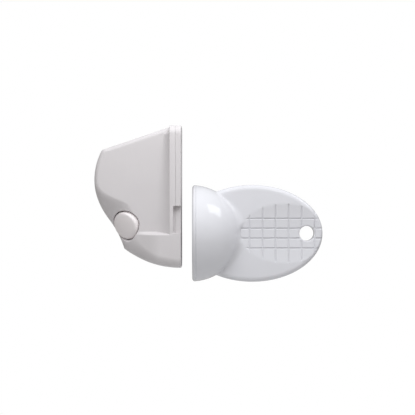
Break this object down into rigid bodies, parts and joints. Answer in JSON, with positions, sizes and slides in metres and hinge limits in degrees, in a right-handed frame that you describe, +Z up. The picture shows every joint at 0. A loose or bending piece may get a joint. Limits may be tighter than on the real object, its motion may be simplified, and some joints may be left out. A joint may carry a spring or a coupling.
{
  "type": "cabinet safety lock",
  "caption": "Magnetic safety lock for a cabinet door, with an on and off button and its magnetic key.",
  "frame": {"origin": "centre of the lock's flat mounting face, on the door", "axes": "+Z up along the door, +X from the lock through the door to the key, +Y away from the picture's viewer"},
  "size_m": [0.1034, 0.044, 0.0708],
  "materials": {
    "lock_white": "satin",
    "inner_white": "matte",
    "key_white": "gloss",
    "steel": "drawn",
    "magnet": "dull"
  },
  "bodies": {
    "lock": {"housing": "lock_white", "base_plate": "inner_white", "latch_pin": "steel", "latch_spring": "steel", "button_spring": "steel", "button_guide": "inner_white"},
    "latch": {"latch_arm": "inner_white", "latch_magnet": "magnet"},
    "button": {"button_cap": "lock_white"},
    "key": {"key_front_shell": "key_white", "key_back_shell": "key_white", "key_face_cap": "key_white", "key_magnet": "magnet", "key_keeper": "steel"}
  },
  "joints": [
    {"name": "latch_turn", "type": "hinge", "parent": "lock", "child": "latch", "pos_m": [-0.013, 0, 0.009], "axis": [0, -1, 0], "range_deg": [0, 15], "stiffness_Nm_per_rad": 0.02, "springref_deg": -20.05, "deforming": ["latch_spring"]},
    {"name": "button_press", "type": "slide", "parent": "lock", "child": "button", "axis": [0.5523, 0.7602, 0.342], "range_m": [0, 0.003], "stiffness_N_per_m": 250, "springref_m": -0.002, "deforming": ["button_spring"]},
    {"name": "key_pull", "type": "slide", "parent": "lock", "child": "key", "axis": [1, 0, 0], "range_m": [0, 0.05]}
  ]
}
